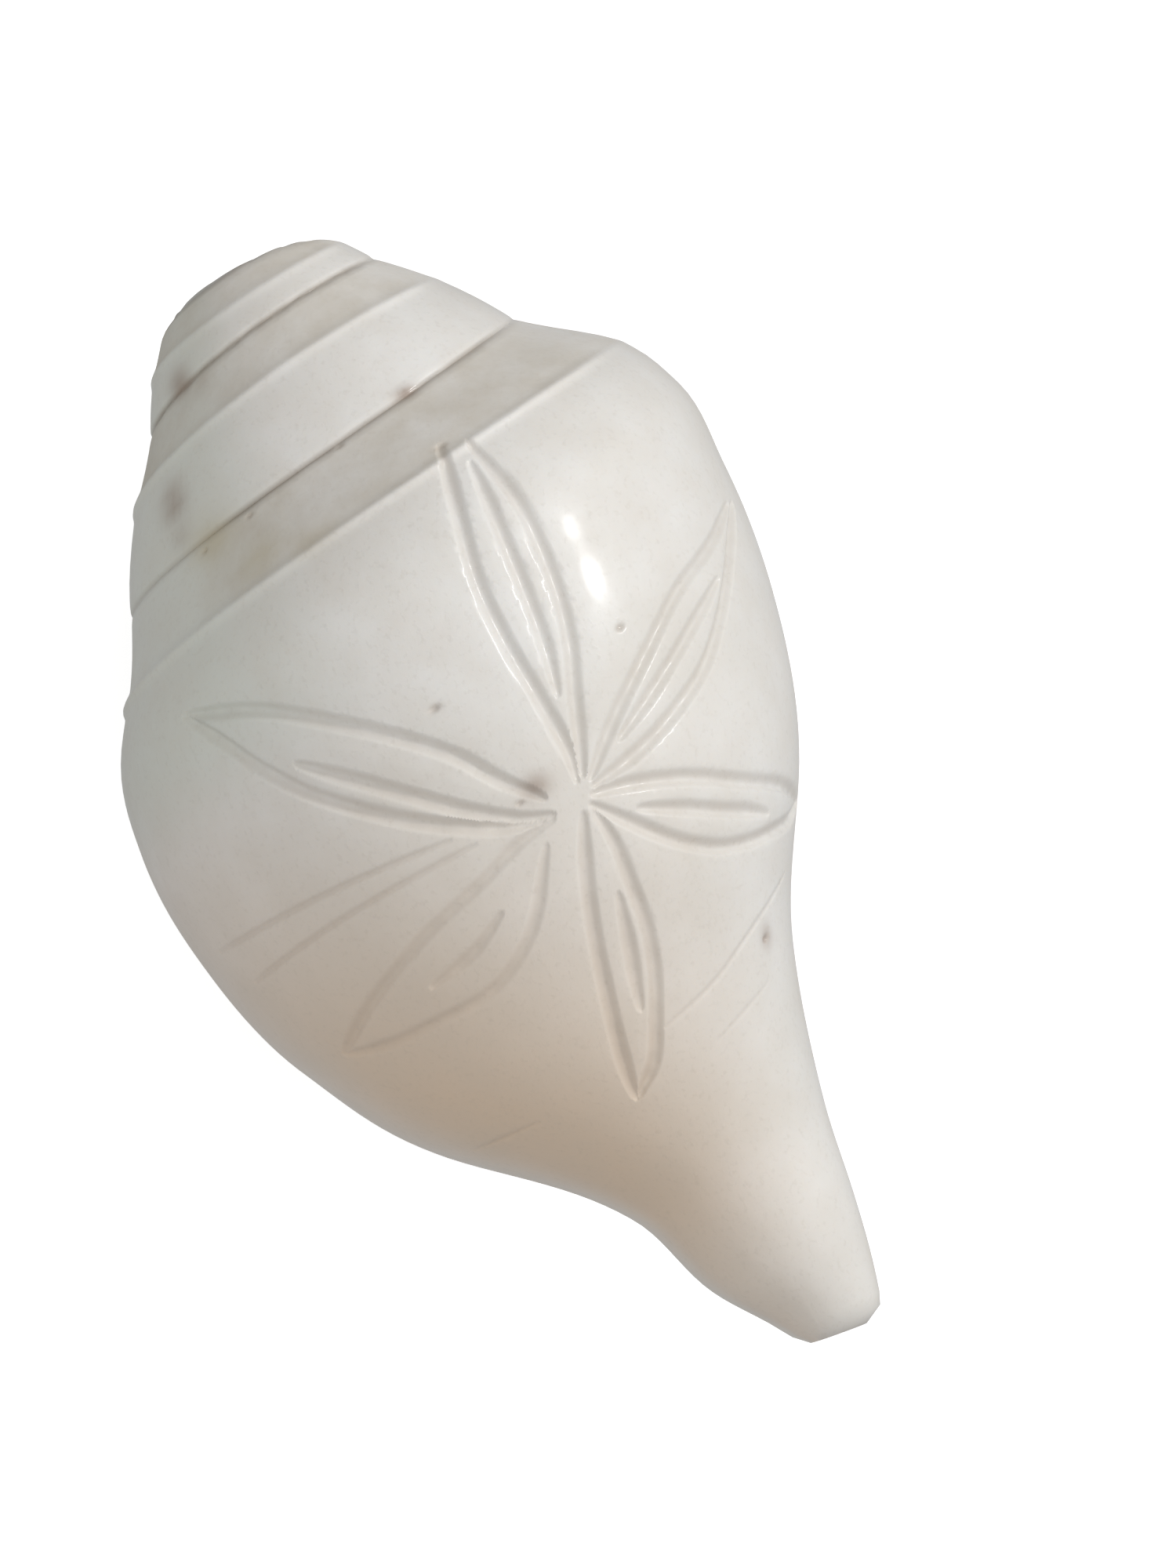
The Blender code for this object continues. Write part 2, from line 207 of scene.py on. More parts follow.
# Pits: distance along the axis, angle and size
PITS = ((100.8, -46.0, 1.0), (66.1, -26.0, 0.8), (64.7, 8.0, 1.0), (40.7, -15.5, 1.0), (77.2, 3.4, 0.7))
PIT_STRETCH = (1.4, 0.75, 1.0)
PIT_DEPTH = 0.4
PIT_REACH = 0.45
PIT_MARK = 0.55

# A groove's section in millimetres: half its width, its depth, the soft hollow beside it, half a scratch's
# width, the length of its tapering ends, and how far from a line its carving is worked out
GROOVE_HALF = 1.12
GROOVE_DEPTH = 0.78
SHOULDER_REACH = 1.9
SHOULDER_DEPTH = 0.14
SCRATCH_HALF = 0.62
TAPER = 5.0
CARVE_REACH = 3.6
MM_TO_A_DEGREE = 0.62
LINE_STEPS = 8

# Stains in the row's frame: place and size in millimetres, strength, and colour
STAINS = (
    ((-56.4, -9.6, 42.3), (1.9, 1.7, 2.8), 0.55, "brown"),
    ((-54.6, -7.4, 44.6), (1.4, 1.4, 1.6), 0.25, "brown"),
    ((-44.9, -16.2, 47.3), (2.4, 2.0, 3.0), 0.55, "brown"),
    ((-41.8, -17.4, 49.2), (1.6, 1.6, 2.2), 0.30, "brown"),
    ((-38.7, -14.6, 52.9), (2.4, 3.0, 4.6), 0.55, "yellow"),
    ((-34.2, -11.0, 59.2), (2.2, 3.4, 3.0), 0.45, "yellow"),
    ((-32.7, -5.5, 63.2), (1.8, 3.4, 2.4), 0.30, "yellow"),
    ((-42.7, 10.5, 54.7), (0.7, 1.3, 1.3), 0.60, "brown"),
    ((0.5, 2.6, 66.3), (1.3, 1.6, 1.3), 0.50, "brown"),
    ((24.6, 16.8, 45.3), (1.6, 1.0, 1.4), 0.35, "brown"),
)

# The grid of the outside: its step in degrees, its rows, and the two rounds that make it finer, each with
# its reach round the carving and round the seams, and its number of cuts
STEP = 2.5
SPIRE_ROWS = 10
BODY_ROWS = 72
FINE_ROUNDS = ((2.3, 1.3, 2), (1.12, 0.3, 1))
FINE_REACH = 4.0
SPOT_MARGIN = 0.2
RIDGE_MARGIN = 0.3
FAR = 1e3
WELD = 0.00001

# The skin's normals: how far apart in degrees and rows the points are that give them, how near the skin a
# point of the mesh lies to take them, and how well they agree with the face
NORMAL_TURN = 0.12
NORMAL_STEP = 0.0015
ON_SKIN = 0.02
LEAST_AGREEMENT = 0.8
SMOOTH_ANGLE = math.radians(40.0)

# The canal's tip and the sawn rim, rounded over, and the tip's slant
TIP_ROUND = 2.4
TIP_PULL = 2.0
SAWN_ROUND = 1.6
TIP_REACH = 12.0
TIP_LEAN = 0.15

# The mouth's hollow: its walls, the lip's rounding, how far along the axis it reaches at depths inside the
# lip in degrees, and the three folds on its inner side
LIP_WALL = 3.2
CANAL_WALL = 1.6
LIP_ROUND = 1.4
LIP_RADIUS = 36.0
MOUTH_TOP_WALL = 3.5
MOUTH_TOP_STEP = 0.25
MOUTH_CORNER = 0.9
MOUTH_ROUNDNESS = 5
MOUTH_ROWS = 49
MOUTH_SECTIONS = range(-17, 236, 3)
MOUTH_UNDER_SKIN = 0.12
MOUTH_LIFT = 0.5
MOUTH_LIFT_DEPTH = 14.0
MOUTH_SHRINK = 0.0013
MOUTH_DEPTHS = (-20, 0, 15, 30, 50, 80, 120, 160, 200, 240)
MOUTH_ENDS = (144, 144, 139, 130, 116, 102, 91, 80, 66, 54)
FOLDS = (79.0, 84.5, 90.0)
FOLD_HEIGHT = 0.9
FOLD_REACH = 1.3
FOLD_SHRINK = 0.0015
FOLD_GROWTH = 12.0

# The blow hole: widths at its mouth and inside, length, and its profile as shares of length and of width
BLOW_MOUTH = 8.6
BLOW_END = 6.0
BLOW_LENGTH = 18.0
BLOW_SIDES = 48
BLOW_PROFILE = (
    (-0.1, 1.5),
    (0.0, 1.24),
    (0.02, 1.12),
    (0.06, 1.03),
    (0.12, 1.0),
    (1.0, BLOW_END / BLOW_MOUTH),
)

# What the shell keeps on its points, by attribute
KEPT_ON_POINTS = {
    "marks": ("carved", "seam", "band"),
    "tone": ("hidden", "rosy", "grey"),
    # Besides the brown and yellow stain marks, this attribute holds painted bounce light towards the lip's
    # edge
    "stains_and_painted_light": ("brown", "yellow", "painted_bounce_light"),
}
# Uneven colour and surface: name, lumps to a metre, detail, roughness, and the range stretched to 0 to 1
LUMPS = (
    ("clouds", 55.0, 3.0, 0.55, 0.35, 0.68),
    ("patches", 140.0, 4.0, 0.60, 0.35, 0.70),
    ("tooth", 420.0, 3.0, 0.60, 0.0, 1.0),
    ("pores", 1600.0, 2.0, 0.50, 0.55, 0.80),
)
# The shell's colour: ivory with clouds, and over it layers, each with its colour, its strength, its place
# and what breaks it up
IVORY = "EAE8E4"
IVORY_CLOUD = "E2DFD9"
LAYERS = (
    ("DCC5AC", 1.00, "rosy", None),
    ("D5D8CE", 0.80, "grey", None),
    # This paler layer towards the lip's edge is painted bounce light, not the shell's own colour
    ("F4F1EA", 0.30, "painted_bounce_light", None),
    ("CFC3B3", 0.22, "patches", None),
    ("A89D8C", 0.14, "pores", None),
    ("C2BAAB", 0.50, "band", "patches"),
    ("C4BCAF", 0.34, "band", None),
    ("8F6F4E", 0.40, "carved", None),
    ("7A6A55", 0.62, "seam", None),
    ("B9AB86", 0.90, "yellow", None),
    ("7D5B40", 1.00, "brown", None),
    ("EBDFD0", 1.00, "hidden", None),
)

# The lamps: name, direction from the shell, distance and width in metres, power, and whether the gloss
# shows them
LIGHTS = (
    ("window", (0.02, 0.88, 0.42), 1.2, 0.9, 5.2, False),
    ("ceiling", (0.05, -0.20, 1.00), 1.3, 1.2, 4.4, False),
    ("lamp", (0.021, 0.825, 0.565), 1.0, 0.16, 1.9, True),
)
LIGHTS_AIM = (0.0, 0.0, 0.03)
ROOM_STRENGTH = 0.43
FLOOR_WIDTH = 6.0
FLOOR_GLOW = 0.5
FLOOR_DROP = -0.1 * MM

# The camera: direction from the shell, distance, where it looks along the axis, and the frame's size
CAMERA_AZIMUTH = math.radians(61.5)
CAMERA_ELEVATION = math.radians(86.5)
CAMERA_DISTANCE = 0.70
CAMERA_AIM = 75.0
CAMERA_RIGHT = 6.227 * MM
CAMERA_UP = 1.202 * MM
SENSOR = 36.0
PHOTO_HEIGHT = 2000
PIXELS_TO_A_MM = 11.9
FRAME_HEIGHT = PHOTO_HEIGHT / PIXELS_TO_A_MM * MM


def smooth_through(places, values, wanted):
    """Cubic curve through values at places, one curve for each column of values."""
    places = np.asarray(places, float)
    values = np.asarray(values, float)
    wanted = np.asarray(wanted, float)
    slope = np.gradient(values, places, axis=0)
    i = np.clip(np.searchsorted(places, wanted) - 1, 0, len(places) - 2)
    gap = places[i + 1] - places[i]
    t = (wanted - places[i]) / gap
    extra = (1,) * (values.ndim - 1)
    t = t.reshape(t.shape + extra)
    gap = gap.reshape(gap.shape + extra)
    a = 2 * t ** 3 - 3 * t ** 2 + 1
    b = t ** 3 - 2 * t ** 2 + t
    c = 3 * t ** 2 - 2 * t ** 3
    d = t ** 3 - t ** 2
    return a * values[i] + b * gap * slope[i] + c * values[i + 1] + d * gap * slope[i + 1]


def suture(angle):
    """Distance along the axis and radius of the suture."""
    table = np.array(SUTURE, float)
    pair = np.exp(smooth_through(table[:, 0], np.log(table[:, 1:]), np.asarray(angle, float)))
    return pair[..., 0], pair[..., 1]


def body(angle, place):
    """Distance along and radius of the last turn, at angles and at places from its suture to the tip."""
    angle, place = np.broadcast_arrays(np.asarray(angle, float), np.asarray(place, float))
    shape = angle.shape
    angle = angle.ravel()
    place = place.ravel()
    keys = np.array(sorted(OUTLINES), float)
    logs = np.log(np.array([OUTLINES[key] for key in sorted(OUTLINES)]))
    across = smooth_through(keys, logs, np.clip(angle, keys[0], keys[-1]))
    at = np.array(PLACES)
    slope = np.gradient(across, at, axis=1)
    i = np.clip(np.searchsorted(at, place) - 1, 0, len(at) - 2)
    gap = at[i + 1] - at[i]
    t = (place - at[i]) / gap
    n = np.arange(len(angle))
    value = (2 * t ** 3 - 3 * t ** 2 + 1) * across[n, i] + (t ** 3 - 2 * t ** 2 + t) * gap * slope[n, i]
    value += (3 * t ** 2 - 2 * t ** 3) * across[n, i + 1] + (t ** 3 - t ** 2) * gap * slope[n, i + 1]
    start = suture(angle)[0]
    along = start + (CANAL_TIP - start) * place
    return along.reshape(shape), np.exp(value).reshape(shape)


def spire(angle, share):
    """Distance along and radius of an early turn, at a share of the way to the next suture."""
    along0, radius0 = suture(angle)
    along1, radius1 = suture(angle + 360.0)
    bulge = SPIRE_BULGE * 4.0 * share * (1.0 - share)
    along = along0 + (along1 - along0) * share - (radius1 - radius0) * bulge
    return along, radius0 + (radius1 - radius0) * share + (along1 - along0) * bulge


def smoothstep(low, high, value):
    """0 at low, 1 at high, and a soft rise between them."""
    t = np.clip((value - low) / (high - low), 0.0, 1.0)
    return t * t * (3.0 - 2.0 * t)


def place_point(angle, along, radius):
    """Points in millimetres in the row's frame."""
    turn = np.radians(np.asarray(angle, float))
    x = along - AXIS_MIDDLE
    y = -radius * np.sin(turn) - AXIS_ASIDE
    z = radius * np.cos(turn) + AXIS_HEIGHT
    return np.stack(np.broadcast_arrays(x, y, z), axis=-1)


# The share of the last turn's first outline that lies before the next suture
JOINT = float((suture(LIP_ANGLE)[0] - suture(LAST_START)[0]) / (CANAL_TIP - suture(LAST_START)[0]))


def bare_surface(angle, row):
    """Distance along and radius without relief. Row 0 is the suture, 1 the next one, and 2 the tip."""
    share = np.clip(row, 0.0, 1.0)
    early = angle < LAST_START
    place = np.where(row <= 1.0, JOINT * row, JOINT + (1.0 - JOINT) * (row - 1.0))
    along, radius = body(angle, place)
    x, r = spire(angle, share)
    x1, r1 = body(np.full_like(angle, LAST_START), JOINT * share)
    x0, r0 = spire(np.full_like(angle, LAST_START), share)
    w = smoothstep(LAST_START - 100.0, LAST_START, angle)
    return np.where(early, x + (x1 - x0) * w, along), np.where(early, r + (r1 - r0) * w, radius)


def worn_side(angle):
    """How far a place is on the side towards which all relief is worn down: 1 there, 0 elsewhere."""
    return smoothstep(*WORN_SIDE, -np.sin(np.radians(angle)))


def seam_depth(angle):
    """Depth of the seam, less on the worn side and past the band's end, where dirt fills it."""
    filled = smoothstep(*BAND_FADE, angle)
    return SEAM_DEPTH * (1.0 - SEAM_WORN * worn_side(angle)) * (1.0 - SEAM_FILLED * filled)


def relief(angle, row, along):
    """Low relief under the suture: seam, hollow band and raised cord, as a change of radius."""
    start = suture(angle)[0]
    below = along - start
    above = np.where(angle < LAST_START, suture(angle + 360.0)[0] - along, NO_NEXT_SEAM)
    ridge = np.interp(angle, RIDGE_ANGLES, RIDGE_DISTANCES)
    scale = ridge / RIDGE_DISTANCES[-1]
    turn = np.radians(angle)
    uneven = 1.0 + SEAM_UNEVEN * np.sin(turn * 23.0) * np.sin(turn * 7.3 + 1.0)
    under, over = np.exp(-(below / SEAM_REACH) ** 2), np.exp(-(above / SEAM_REACH) ** 2)
    cut = under * seam_depth(angle) + over * seam_depth(angle + 360.0)
    hollow = np.sin(math.pi * np.clip(below / ridge, 0.0, 1.0)) ** 0.8
    hollow *= 1.0 - BAND_FADED * smoothstep(*BAND_FADE, angle)
    raised = np.exp(-((below - ridge) / RIDGE_REACH) ** 2)
    rest = scale * (RIDGE_HEIGHT * raised - BAND_DEPTH * hollow) * beside_mouth(angle)
    rest *= 1.0 - RELIEF_WORN * worn_side(angle)
    return rest * np.clip(1.0 - under - over, 0.0, 1.0) - cut * uneven


def beside_mouth(angle):
    """How far a place is from the mouth's inner side, where the skin has no relief: 0 there, 1 elsewhere."""
    before = 1.0 - smoothstep(LAST_START - 25.0, LAST_START - 2.0, angle)
    return np.where(angle < LAST_START, before, smoothstep(LAST_START + 16.0, LAST_START + 34.0, angle))


def unevenness(angle, along):
    """The slight waves that polishing by hand leaves."""
    turn = np.radians(angle)
    broad, crossing, rings, fine = WAVE_HEIGHTS
    waves = broad * np.sin(3.1 * turn + 0.17 * along) + crossing * np.sin(5.3 * turn - 0.13 * along + 1.3)
    bent = 0.37 * along + 2.0 * np.sin(2.0 * turn)
    waves += rings * np.sin(bent) + fine * np.sin(17.0 * turn + 0.55 * along)
    return waves * beside_mouth(angle) * smoothstep(-900.0, -400.0, angle)


def surface_at(along, angle):
    """A point of the last turn's bare skin, from its place along the axis and its angle."""
    start = suture(angle)[0]
    return place_point(angle, along, body(angle, (along - start) / (CANAL_TIP - start))[1])


def carved_line(points):
    """Points along a line on the skin, and its length."""
    path = np.array(points, float)
    steps = np.linalg.norm(np.diff(path * (1.0, MM_TO_A_DEGREE), axis=0), axis=1)
    at = np.concatenate([[0.0], np.cumsum(steps)])
    path = smooth_through(at, path, np.linspace(0.0, at[-1], LINE_STEPS * len(points) + 1))
    line = surface_at(FLOWER_ALONG + path[:, 0], FLOWER_ANGLE + path[:, 1])
    return line, float(np.linalg.norm(np.diff(line, axis=0), axis=1).sum())


def line_distance(points, line, reach):
    """Distance from each point to a line, and the place along it, for the points within reach."""
    near = np.full(len(points), FAR)
    where = np.zeros(len(points))
    low, high = line.min(0) - reach, line.max(0) + reach
    close = np.nonzero(((points > low) & (points < high)).all(1))[0]
    if len(close) == 0:
        return near, where
    some = points[close]
    nearest = np.full(len(close), FAR)
    place = np.zeros(len(close))
    total = len(line) - 1
    for k in range(total):
        a, b = line[k], line[k + 1]
        ab = b - a
        t = np.clip((some - a) @ ab / (ab @ ab), 0.0, 1.0)
        d = np.linalg.norm(some - a - t[:, None] * ab, axis=1)
        better = d < nearest
        nearest[better] = d[better]
        place[better] = (k + t[better]) / total
    near[close], where[close] = nearest, place
    return near, where


LINES = [(strength, GROOVE_HALF) + carved_line(points) for strength, points in GROOVES]
LINES += [(strength, SCRATCH_HALF) + carved_line(points) for strength, points in SCRATCHES]
SPOTS = [(surface_at(along, angle), size) for along, angle, size in PITS]
SPOTS += [(surface_at(along, angle), NOTCH_SIZE) for along, angle in NOTCHES]


def carving(points):
    """How deep the carving is at each point of the bare skin, and how near its lines' bottoms are."""
    depth = np.zeros(len(points))
    shoulder = np.zeros(len(points))
    mark = np.zeros(len(points))
    for k, (strength, half, line, length) in enumerate(LINES):
        near, where = line_distance(points, line, CARVE_REACH)
        ends = np.clip(np.minimum(where, 1.0 - where) * length / TAPER, 0.0, 1.0)
        # A line is smaller at its ends, a faint line is narrower, and its section is a rounded valley
        size = 0.40 + 0.60 * np.sqrt(ends)
        # The hand's pressure goes up and down along a line
        hand = 1.0 + 0.07 * np.sin(where * length * 0.8 + 2.0 * k) + 0.05 * np.sin(where * length * 2.1 + k)
        wide = half * size * (0.75 + 0.25 * min(strength, 1.0))
        t = np.clip(near / wide, 0.0, 1.0)
        cut = (0.5 + 0.5 * np.cos(math.pi * t)) ** 0.85 * GROOVE_DEPTH * size * strength * hand
        depth = np.maximum(depth, cut * half / GROOVE_HALF)
        soft = np.exp(-(near / SHOULDER_REACH) ** 2) * SHOULDER_DEPTH * ends * strength
        shoulder = np.maximum(shoulder, soft if half == GROOVE_HALF else 0.0)
        mark = np.maximum(mark, np.clip(1.0 - near / (0.8 * wide), 0.0, 1.0) * size * strength)
    for spot, size in SPOTS:
        near = np.linalg.norm((points - spot) * PIT_STRETCH, axis=1)
        depth = np.maximum(depth, PIT_DEPTH * size * np.exp(-(near / (PIT_REACH * size)) ** 2))
        mark = np.maximum(mark, np.exp(-(near / (PIT_MARK * size)) ** 2))
    return depth + shoulder * np.clip(1.0 - depth / GROOVE_DEPTH, 0.0, 1.0), mark


def on_seam(angle, row):
    """Which points lie on the seam, from below it and from above it."""
    return row <= 0.0, (row >= 1.0) & (row < 1.0 + 1e-6) & (angle <= LAST_START)


def skin(angle, row):
    """Points of the finished outside, in millimetres."""
    along, radius = bare_surface(angle, row)
    radius = radius + relief(angle, row, along) + unevenness(angle, along)
    radius = radius - carving(place_point(angle, *bare_surface(angle, row)))[0]
    # The lip's edge and the tip are rounded over
    arc = np.radians(LIP_ANGLE - angle) * radius
    turned = np.clip(1.0 - arc / LIP_ROUND, 0.0, 1.0)
    thick = np.minimum(LIP_ROUND, 0.4 * np.maximum(radius - 2.0, 0.2))
    hang = np.where(angle > 0, smoothstep(0.0, 0.25, row), 0.0)
    radius = radius - thick * hang * (1.0 - np.sqrt(1.0 - turned ** 2))
    tip = np.clip((along - (CANAL_TIP - TIP_ROUND)) / TIP_ROUND, 0.0, 1.0)
    radius = radius - np.minimum(TIP_PULL, 0.4 * radius) * (1.0 - np.sqrt(1.0 - tip ** 2))
    # The seam is one line for both turns that meet there
    for where, turn in zip(on_seam(angle, row), (0.0, 360.0)):
        along = np.where(where, suture(angle + turn)[0], along)
        radius = np.where(where, suture(angle + turn)[1] - seam_depth(angle + turn), radius)
    # The sawn rim is rounded over
    normal = np.array(SAWN_NORMAL)
    face = place_point(0.0, SAWN_APEX, 0.0)
    inside = np.clip((face - place_point(angle, along, radius)) @ normal, 0.0, None)
    rim = SAWN_ROUND
    pull = rim - np.sqrt(rim ** 2 - np.clip(rim - inside, 0.0, rim) ** 2)
    radius = radius - np.where(angle < -180, np.minimum(pull, 0.5 * radius), 0.0)
    return place_point(angle, along, radius)


def select_faces(mesh, chosen):
    """Selects the chosen faces alone, in edit mode."""
    bpy.ops.mesh.select_all(action="DESELECT")
    bm = bmesh.from_edit_mesh(mesh)
    bm.faces.ensure_lookup_table()
    for k in np.nonzero(chosen)[0]:
        bm.faces[k].select = True
    bm.select_flush_mode()
    bmesh.update_edit_mesh(mesh)


def coordinates(mesh):
    """All points of a mesh as an array."""
    flat = np.empty(len(mesh.vertices) * 3)
    mesh.vertices.foreach_get("co", flat)
    return flat.reshape(-1, 3)


def face_middles(mesh):
    """The middles of all faces of a mesh as an array."""
    flat = np.empty(len(mesh.polygons) * 3)
    mesh.polygons.foreach_get("center", flat)
    return flat.reshape(-1, 3)


def wants_finer(angle, row, carve_reach, seam_reach):
    """Which places of the sheet are near the carving, a seam or the ridge."""
    along, radius = bare_surface(angle, row)
    points = place_point(angle, along, radius)
    near = np.full(len(points), FAR)
    for strength, half, path, length in LINES:
        near = np.minimum(near, line_distance(points, path, FINE_REACH)[0] + (GROOVE_HALF - half))
    for spot, size in SPOTS:
        near = np.minimum(near, np.linalg.norm(points - spot, axis=1) + SPOT_MARGIN)
    start = suture(angle)[0]
    ridge = np.interp(angle, RIDGE_ANGLES, RIDGE_DISTANCES)
    above = np.where(angle < LAST_START, suture(angle + 360.0)[0] - along, NO_NEXT_SEAM)
    # Both turns that meet at a seam are made finer over the same stretch of it, so that their edges match
    at_seam = (np.abs(along - start) < seam_reach) & (angle > EARLIEST_SEAM + 360)
    at_seam |= (above < seam_reach) & (angle > EARLIEST_SEAM)
    at_ridge = (np.abs(along - start - ridge) < seam_reach + RIDGE_MARGIN) & (angle > EARLIEST_RIDGE)
    return (near < carve_reach) | at_ridge | at_seam


def coil_sheet():
    """The outside as a flat sheet of angle by row, finer along the seams, the ridge and the carving."""
    columns = round((LIP_ANGLE - COIL_START) / STEP)
    rows = SPIRE_ROWS + BODY_ROWS
    bpy.ops.mesh.primitive_grid_add(x_subdivisions=columns, y_subdivisions=rows, size=2.0)
    sheet = bpy.context.object
    mesh = sheet.data
    flat = coordinates(mesh)
    column = np.round((flat[:, 0] + 1.0) / 2.0 * columns)
    row = np.round((flat[:, 1] + 1.0) / 2.0 * rows)
    flat[:, 0] = COIL_START + STEP * column
    flat[:, 1] = np.where(row <= SPIRE_ROWS, row / SPIRE_ROWS, 1.0 + (row - SPIRE_ROWS) / BODY_ROWS)
    mesh.vertices.foreach_set("co", flat.ravel())
    middles = face_middles(mesh)
    bpy.ops.object.mode_set(mode="EDIT")
    select_faces(mesh, (middles[:, 0] < LAST_START) & (middles[:, 1] > 1.0))
    bpy.ops.mesh.delete(type="FACE")
    bpy.ops.object.mode_set(mode="OBJECT")

    for carve_reach, seam_reach, cuts in FINE_ROUNDS:
        middles = face_middles(mesh)
        finer = wants_finer(middles[:, 0], middles[:, 1], carve_reach, seam_reach)
        bpy.ops.object.mode_set(mode="EDIT")
        select_faces(mesh, finer)
        bpy.ops.mesh.subdivide(number_cuts=cuts)
        bpy.ops.object.mode_set(mode="OBJECT")
    return sheet


def wrap_sheet(sheet):
    """Wraps the flat sheet round the coil, with its relief and carving, and closes it."""
    mesh = sheet.data
    flat = coordinates(mesh)
    angle, row = flat[:, 0], flat[:, 1]
    points = skin(angle, row)
    place = mesh.attributes.new(name="place", type="FLOAT_VECTOR", domain="POINT")
    place.data.foreach_set("vector", flat.ravel())
    mesh.vertices.foreach_set("co", (points * MM).ravel())
    mesh.update()

    bpy.ops.object.mode_set(mode="EDIT")
    bpy.ops.mesh.select_all(action="SELECT")
    bpy.ops.mesh.remove_doubles(threshold=WELD)
    # The three openings are closed one after the other: the step at the lip, the tip and the coil's start
    for opening in ("step", "tip", "start"):
        bpy.ops.mesh.select_all(action="DESELECT")
        bm = bmesh.from_edit_mesh(mesh)
        for edge in bm.edges:
            if not edge.is_boundary:
                continue
            a, b = (v.co / MM for v in edge.verts)
            at_tip = min(a.x, b.x) > CANAL_TIP - AXIS_MIDDLE - 0.01
            at_start = a.x < SAWN_APEX - AXIS_MIDDLE
            edge.select = opening == ("tip" if at_tip else "start" if at_start else "step")
        bm.select_flush_mode()
        bmesh.update_edit_mesh(mesh)
        bpy.ops.mesh.edge_face_add()
    bpy.ops.mesh.select_all(action="SELECT")
    bpy.ops.mesh.fill_holes(sides=0)
    bpy.ops.mesh.select_all(action="SELECT")
    bpy.ops.mesh.normals_make_consistent(inside=False)
    bpy.ops.object.mode_set(mode="OBJECT")


def lean_tip(shell):
    """Gives the canal's end its slant: longer on the side away from the lip."""
    points = coordinates(shell.data)
    share = smoothstep(CANAL_TIP - TIP_REACH, CANAL_TIP, points[:, 0] / MM + AXIS_MIDDLE)
    points[:, 0] += TIP_LEAN * (points[:, 1] + AXIS_ASIDE * MM) * share
    shell.data.vertices.foreach_set("co", points.ravel())
    shell.data.update()


def smooth_skin(shell):
    """Gives the outside the skin's exact normals, so that its gloss runs evenly over all sizes of face."""
    mesh = shell.data
    points = coordinates(mesh) / MM
    place = np.empty(len(points) * 3)
    mesh.attributes["place"].data.foreach_get("vector", place)
    angle, row = place.reshape(-1, 3)[:, 0], place.reshape(-1, 3)[:, 1]
    high = np.where(angle < LAST_START, 1.0, 2.0)
    turn, step = NORMAL_TURN, NORMAL_STEP
    across = skin(angle + turn, row) - skin(np.maximum(angle - turn, COIL_START), row)
    along = skin(angle, np.minimum(row + step, high)) - skin(angle, np.maximum(row - step, 0.0))
    normal = np.cross(across, along)
    normal /= np.maximum(np.linalg.norm(normal, axis=1), 1e-9)[:, None]
    outside = np.linalg.norm(skin(angle, row) - points, axis=1) < ON_SKIN
    outside &= (row > step) & (np.abs(row - 1.0) > step) & (angle < LIP_ANGLE - 0.5) & (row < 1.99)
    outside &= (row > 1.0) | (angle < LAST_START - 0.5) | (row < 1.0) & (angle > LAST_START + 0.5)
    corners = np.empty(len(mesh.loops), int)
    mesh.loops.foreach_get("vertex_index", corners)
    face_normals = np.empty(len(mesh.polygons) * 3)
    mesh.polygons.foreach_get("normal", face_normals)
    totals = np.empty(len(mesh.polygons), int)
    mesh.polygons.foreach_get("loop_total", totals)
    faces = np.repeat(face_normals.reshape(-1, 3), totals, axis=0)
    wanted = normal[corners]
    agree = (wanted * faces).sum(1)
    if np.median(agree[outside[corners]]) < 0:
        wanted, agree = -wanted, -agree
    wanted[~outside[corners] | (agree < LEAST_AGREEMENT)] = 0.0
    mesh.normals_split_custom_set(wanted.tolist())
    mesh.attributes.remove(mesh.attributes["place"])


def mouth_sides(angle, depth, along):
    """Radii of the mouth's hollow, on the lip's side and on the side of the turn that it wraps round."""
    start = suture(angle)[0]
    place = np.clip((along - start) / (CANAL_TIP - start), 0.0, 1.0)
    wall = LIP_WALL + (CANAL_WALL - LIP_WALL) * place
    edge = np.radians(max(depth, 0.0)) * LIP_RADIUS
    flare = LIP_ROUND * (1.0 - math.sqrt(1.0 - max(0.0, 1.0 - edge / LIP_ROUND) ** 2))
    outer = body(min(angle, LIP_ANGLE), place)[1] - wall + flare * wall / LIP_WALL
    wrapped = max(angle, LIP_ANGLE) - 360
    start = suture(wrapped)[0]
    place = np.clip((along - start) / (CANAL_TIP - start), 0.0, 1.0)
    lift = MOUTH_LIFT * float(smoothstep(0.0, MOUTH_LIFT_DEPTH, -depth))
    inner = body(wrapped, place)[1] * (1.0 - MOUTH_SHRINK * max(depth, 0.0)) - MOUTH_UNDER_SKIN + lift
    grow = float(smoothstep(-FOLD_GROWTH, FOLD_GROWTH, depth))
    for fold in FOLDS:
        x = fold * math.exp(-FOLD_SHRINK * depth)
        inner = inner + FOLD_HEIGHT * grow * np.exp(-((along - x) / FOLD_REACH) ** 2)
    return outer, inner


def mouth_section(depth):
    """The mouth's hollow cut across at an angle of depth degrees inside the lip."""
    angle = LIP_ANGLE - depth
    end = float(smooth_through(MOUTH_DEPTHS, MOUTH_ENDS, depth))
    tops = np.arange(suture(angle)[0] + MOUTH_TOP_WALL, end, MOUTH_TOP_STEP)
    outer, inner = mouth_sides(angle, depth, tops)
    top = tops[np.argmax(outer - inner > MOUTH_CORNER)]
    share = 0.5 - 0.5 * np.cos(np.linspace(0.0, math.pi, MOUTH_ROWS))
    along = top + (end - top) * share
    outer, inner = mouth_sides(angle, depth, along)
    middle = 0.5 * (outer + inner)
    half = np.maximum(0.5 * (outer - inner), MOUTH_CORNER / 2)
    half = half * np.sqrt(1.0 - np.abs(2.0 * share - 1.0) ** MOUTH_ROUNDNESS)
    x = np.concatenate([along, along[-2:0:-1]])
    r = np.concatenate([middle + half, (middle - half)[-2:0:-1]])
    return place_point(angle, x, r)


